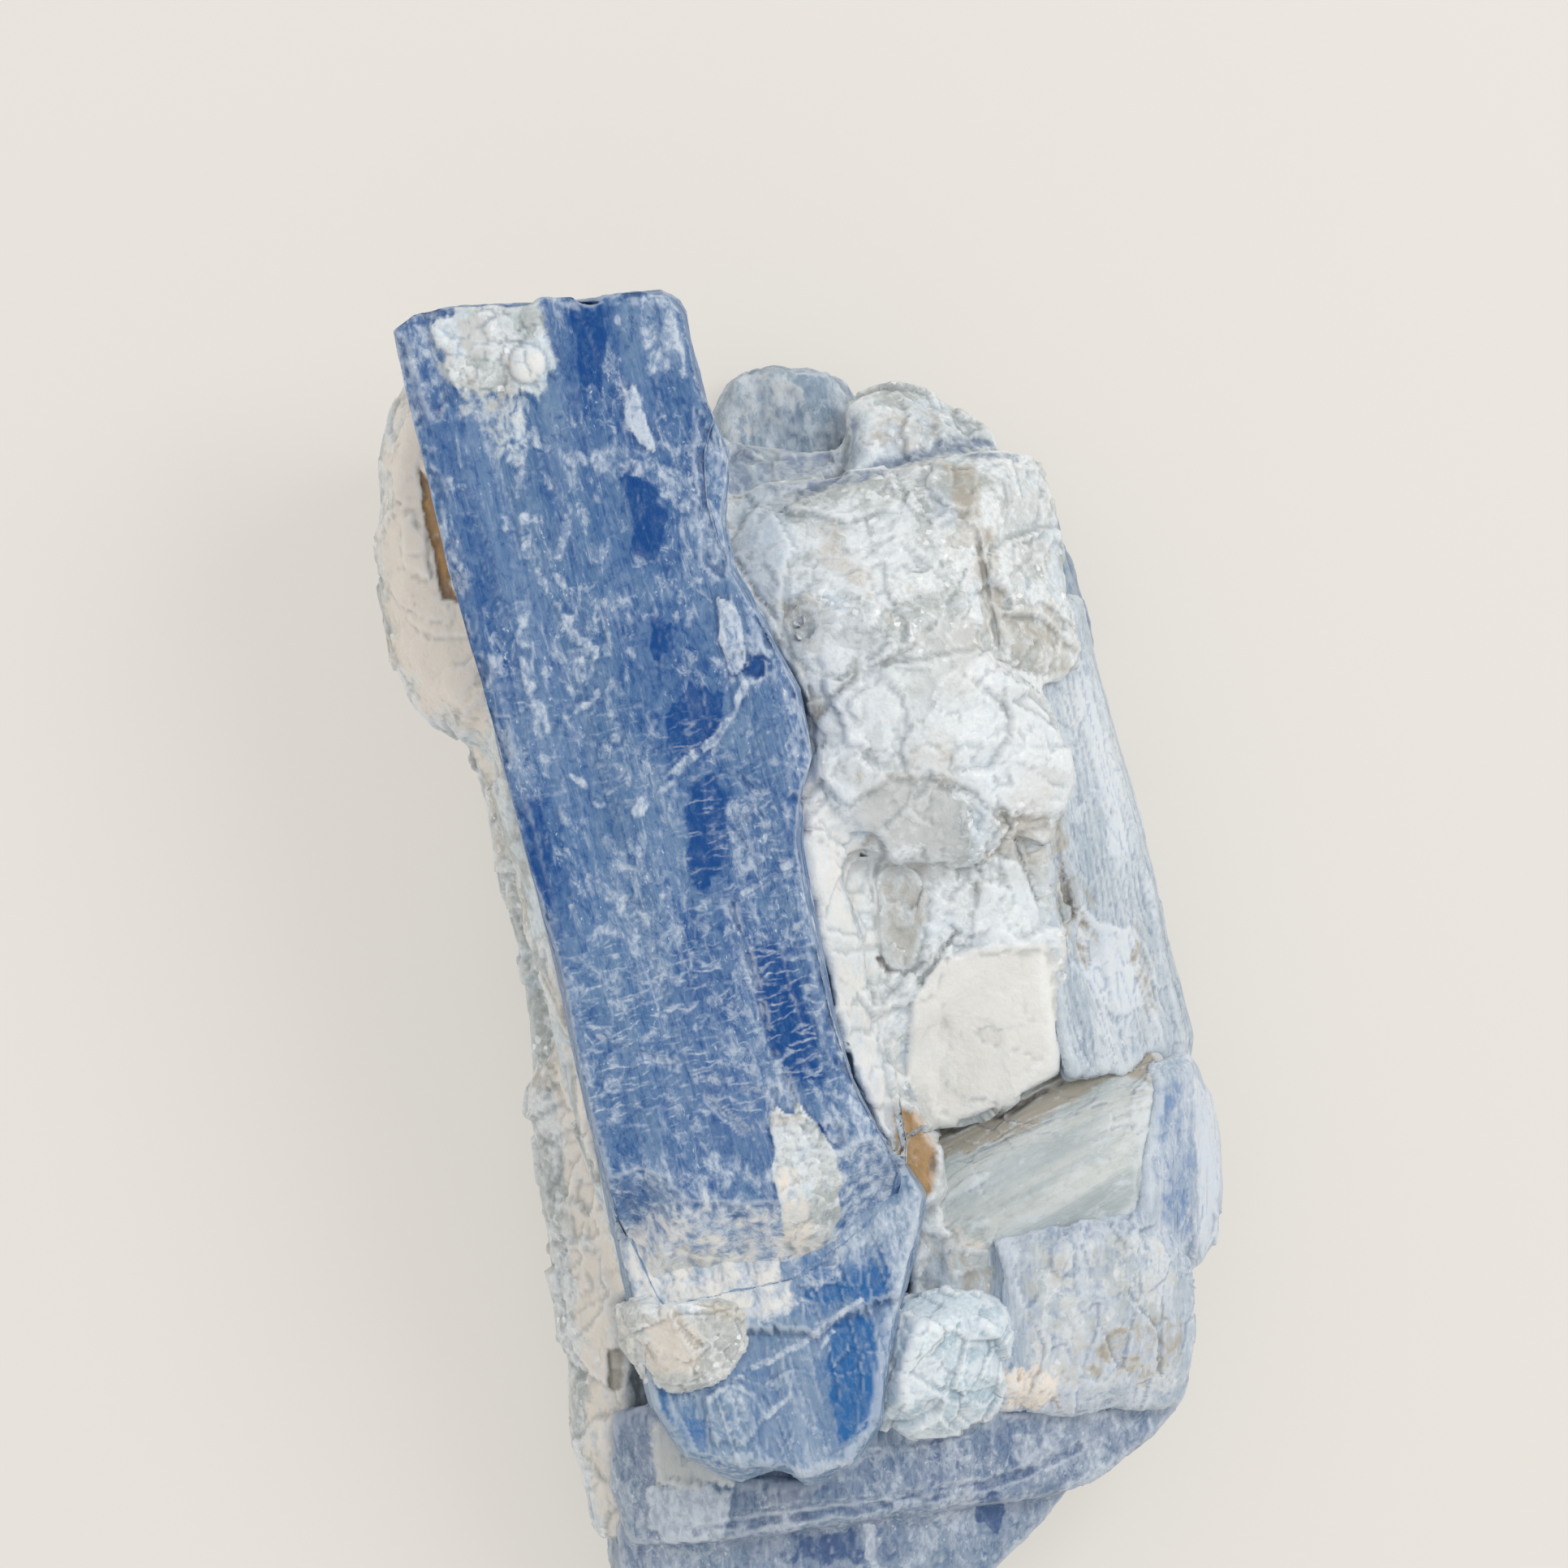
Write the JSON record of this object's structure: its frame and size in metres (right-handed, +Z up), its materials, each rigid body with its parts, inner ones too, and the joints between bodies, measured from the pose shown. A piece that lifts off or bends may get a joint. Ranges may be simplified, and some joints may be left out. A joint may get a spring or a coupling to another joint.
{
  "type": "kyanite specimen",
  "caption": "Hand-sized mineral specimen: thick blue kyanite blades grown together with white quartz, lying on its flat back.",
  "frame": {"origin": "middle of the outline on the surface that the specimen lies on", "axes": "+Y along the specimen towards its upper end, +X to the right across the blades seen from the front, +Z up out of the front"},
  "size_m": [0.0652, 0.1064, 0.0352],
  "materials": {
    "kyanite_front_blade": "glassy to silky blue, with pale cleavage cracks",
    "kyanite_second_blade": "glassy to silky blue, with a pale rim",
    "kyanite_cross_blade": "satin grey-green",
    "kyanite_lower_right_blade": "rough, pale blue-grey",
    "kyanite_right_blade": "silky, striped pale blue-grey",
    "kyanite_base_blades": "silky, pale blue-lilac with fine stripes",
    "kyanite_rear_blades": "silky blue-grey",
    "quartz_white_crystal": "glassy, milky white",
    "quartz_lower_lump": "waxy cream",
    "quartz_matrix": "glassy, milky white to clear grey"
  },
  "bodies": {
    "root": {"kyanite_front_blade": "kyanite_front_blade", "kyanite_second_blade": "kyanite_second_blade", "kyanite_cross_blade": "kyanite_cross_blade", "kyanite_lower_right_blade": "kyanite_lower_right_blade", "kyanite_right_blade": "kyanite_right_blade", "kyanite_base_blades": "kyanite_base_blades", "kyanite_rear_blades": "kyanite_rear_blades", "quartz_white_crystal": "quartz_white_crystal", "quartz_lower_lump": "quartz_lower_lump", "quartz_matrix": "quartz_matrix"}
  },
  "joints": []
}
